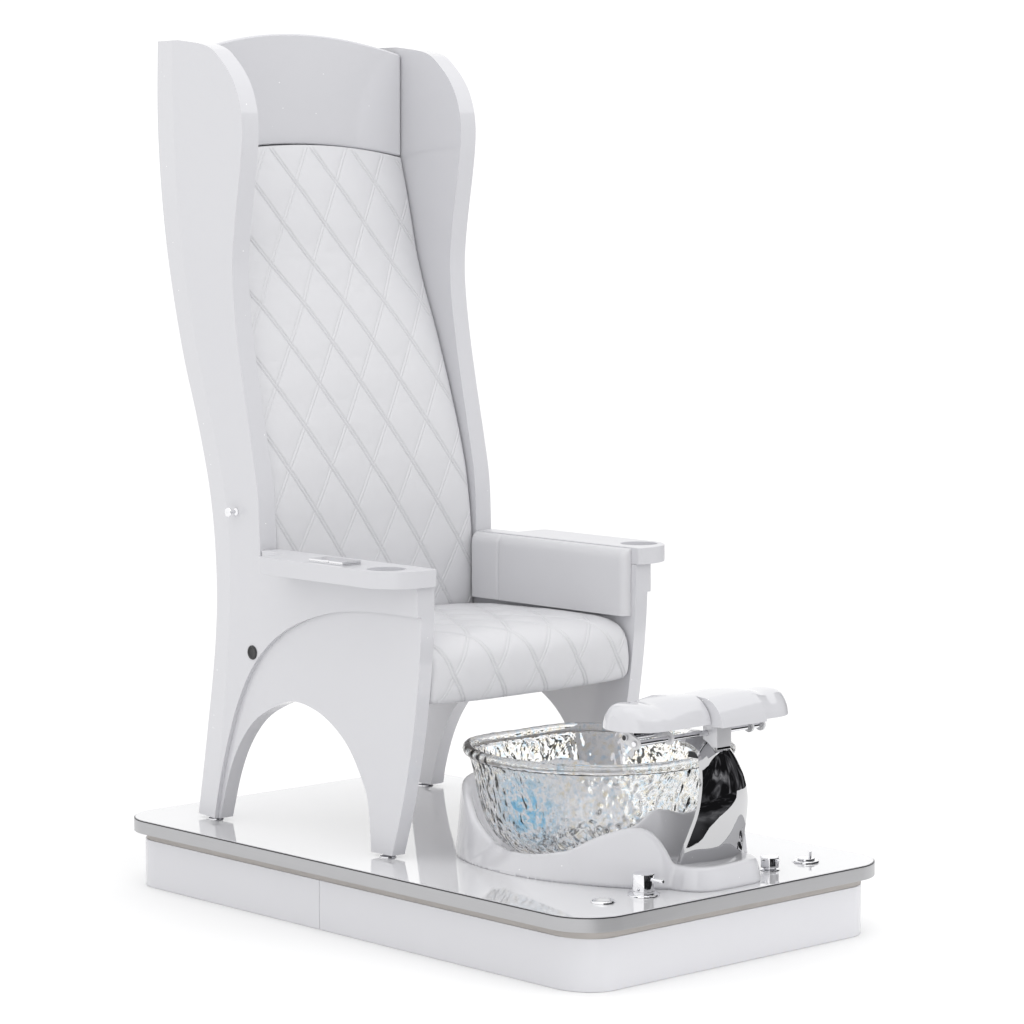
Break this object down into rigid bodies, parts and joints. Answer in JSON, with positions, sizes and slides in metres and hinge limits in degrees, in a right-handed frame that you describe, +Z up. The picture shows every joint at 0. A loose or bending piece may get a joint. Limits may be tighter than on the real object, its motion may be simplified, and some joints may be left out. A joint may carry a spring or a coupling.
{
  "type": "pedicure spa chair",
  "caption": "High wing-back pedicure throne with quilted seat and back, on a plumbed platform with a glass foot bowl and a chrome footrest tower.",
  "frame": {"origin": "on the floor under the middle of the rectangular platform", "axes": "+Z up; the sitter faces -Y, so the footrest and bowl are at -Y and the chair back at +Y; the sitter's right hand is at -X"},
  "size_m": [0.885, 1.5, 1.874],
  "materials": {
    "gelcoat": "high-gloss pearl gelcoat on moulded fibreglass",
    "deck": "mirror-gloss laminate top",
    "cabinet": "satin-gloss board skirt",
    "leather": "white synthetic leather, diamond quilted",
    "chrome": "mirror chrome",
    "brushed": "brushed metal edging",
    "steel": "satin frame metal",
    "glass": "clear hammered glass",
    "board": "taupe sealed board",
    "black": "matt black",
    "white_plastic": "satin white",
    "rubber": "matt black rubber",
    "lens": "translucent blue lens"
  },
  "bodies": {
    "chair_and_platform": {"air_button_ring": "chrome", "arm_pad_left": "leather", "arm_pad_right": "leather", "arm_tray_left": "gelcoat", "arm_tray_right": "gelcoat", "back_cushion": "leather", "back_shell": "gelcoat", "base_rail_left": "steel", "base_rail_right": "steel", "bowl_cradle": "gelcoat", "bowl_light": "lens", "bowl_seat_ring": "rubber", "cabinet_front": "cabinet", "cabinet_rear": "cabinet", "cable_grommet": "black", "cross_bar": "chrome", "drain_knob_base": "chrome", "drain_pipe": "white_plastic", "drain_strainer": "chrome", "footrest_pad_center": "gelcoat", "glass_bowl": "glass", "headrest_panel": "gelcoat", "jet_cover": "white_plastic", "jet_motor": "black", "leveling_foot_front_left": "chrome", "leveling_foot_front_right": "chrome", "leveling_foot_rear_left": "chrome", "leveling_foot_rear_right": "chrome", "link_plate_inner_left": "white_plastic", "link_plate_inner_right": "white_plastic", "link_plate_outer_left": "white_plastic", "link_plate_outer_right": "white_plastic", "platform_edge_band": "brushed", "platform_sub_frame": "board", "platform_top": "deck", "power_box_frame": "chrome", "power_box_socket": "black", "purse_hook": "chrome", "seat_board": "board", "seat_cushion": "leather", "side_panel_left": "gelcoat", "side_panel_right": "gelcoat", "tap_body_left": "chrome", "tap_body_right": "chrome", "tower_post": "steel", "tower_shell": "chrome", "water_nozzle": "black"},
    "footrest_right": {"footrest_pad_right": "gelcoat", "pad_bracket_right": "chrome"},
    "footrest_left": {"footrest_pad_left": "gelcoat", "pad_bracket_left": "chrome"},
    "tap_right": {"tap_lever_right": "chrome"},
    "tap_left": {"tap_handle_left": "chrome"},
    "button": {"air_button": "white_plastic"},
    "drain_control": {"drain_knob": "chrome"},
    "stopper": {"drain_stopper": "chrome"},
    "impeller": {"jet_impeller": "white_plastic"},
    "power_lid": {"power_box_lid": "chrome"}
  },
  "joints": [
    {"name": "footrest_right_tilt", "type": "hinge", "parent": "chair_and_platform", "child": "footrest_right", "pos_m": [-0.065, -0.63, 0.4665], "axis": [1, 0, 0], "range_deg": [-18, 18]},
    {"name": "footrest_left_tilt", "type": "hinge", "parent": "chair_and_platform", "child": "footrest_left", "pos_m": [0.065, -0.63, 0.4665], "axis": [1, 0, 0], "range_deg": [-18, 18]},
    {"name": "tap_right_turn", "type": "hinge", "parent": "chair_and_platform", "child": "tap_right", "pos_m": [-0.187, -0.647, 0.162], "axis": [0, 0, 1], "range_deg": [-45, 45]},
    {"name": "tap_left_turn", "type": "hinge", "parent": "chair_and_platform", "child": "tap_left", "pos_m": [0.175, -0.647, 0.158], "axis": [0, 0, 1], "range_deg": [0, 90]},
    {"name": "air_button_press", "type": "slide", "parent": "chair_and_platform", "child": "button", "axis": [0, 0, -1], "range_m": [0, 0.003], "stiffness_N_per_m": 400},
    {"name": "drain_knob_turn", "type": "hinge", "parent": "chair_and_platform", "child": "drain_control", "pos_m": [0.29, -0.641, 0.157], "axis": [0, 0, 1], "range_deg": [0, 90]},
    {"name": "drain_stopper_lift", "type": "slide", "parent": "chair_and_platform", "child": "stopper", "axis": [0, 0, 1], "range_m": [0, 0.008]},
    {"name": "jet_impeller_spin", "type": "hinge", "parent": "chair_and_platform", "child": "impeller", "pos_m": [0, -0.275, 0.18], "axis": [0, 0, 1], "continuous": true},
    {"name": "power_box_lid_flip", "type": "hinge", "parent": "chair_and_platform", "child": "power_lid", "pos_m": [-0.344, 0.076, 0.7663], "axis": [0, 1, 0], "range_deg": [0, 100]}
  ],
  "couplings": [
    {"joint": "drain_knob_turn", "follows": "drain_stopper_lift", "rad_per_m": 196.35}
  ]
}
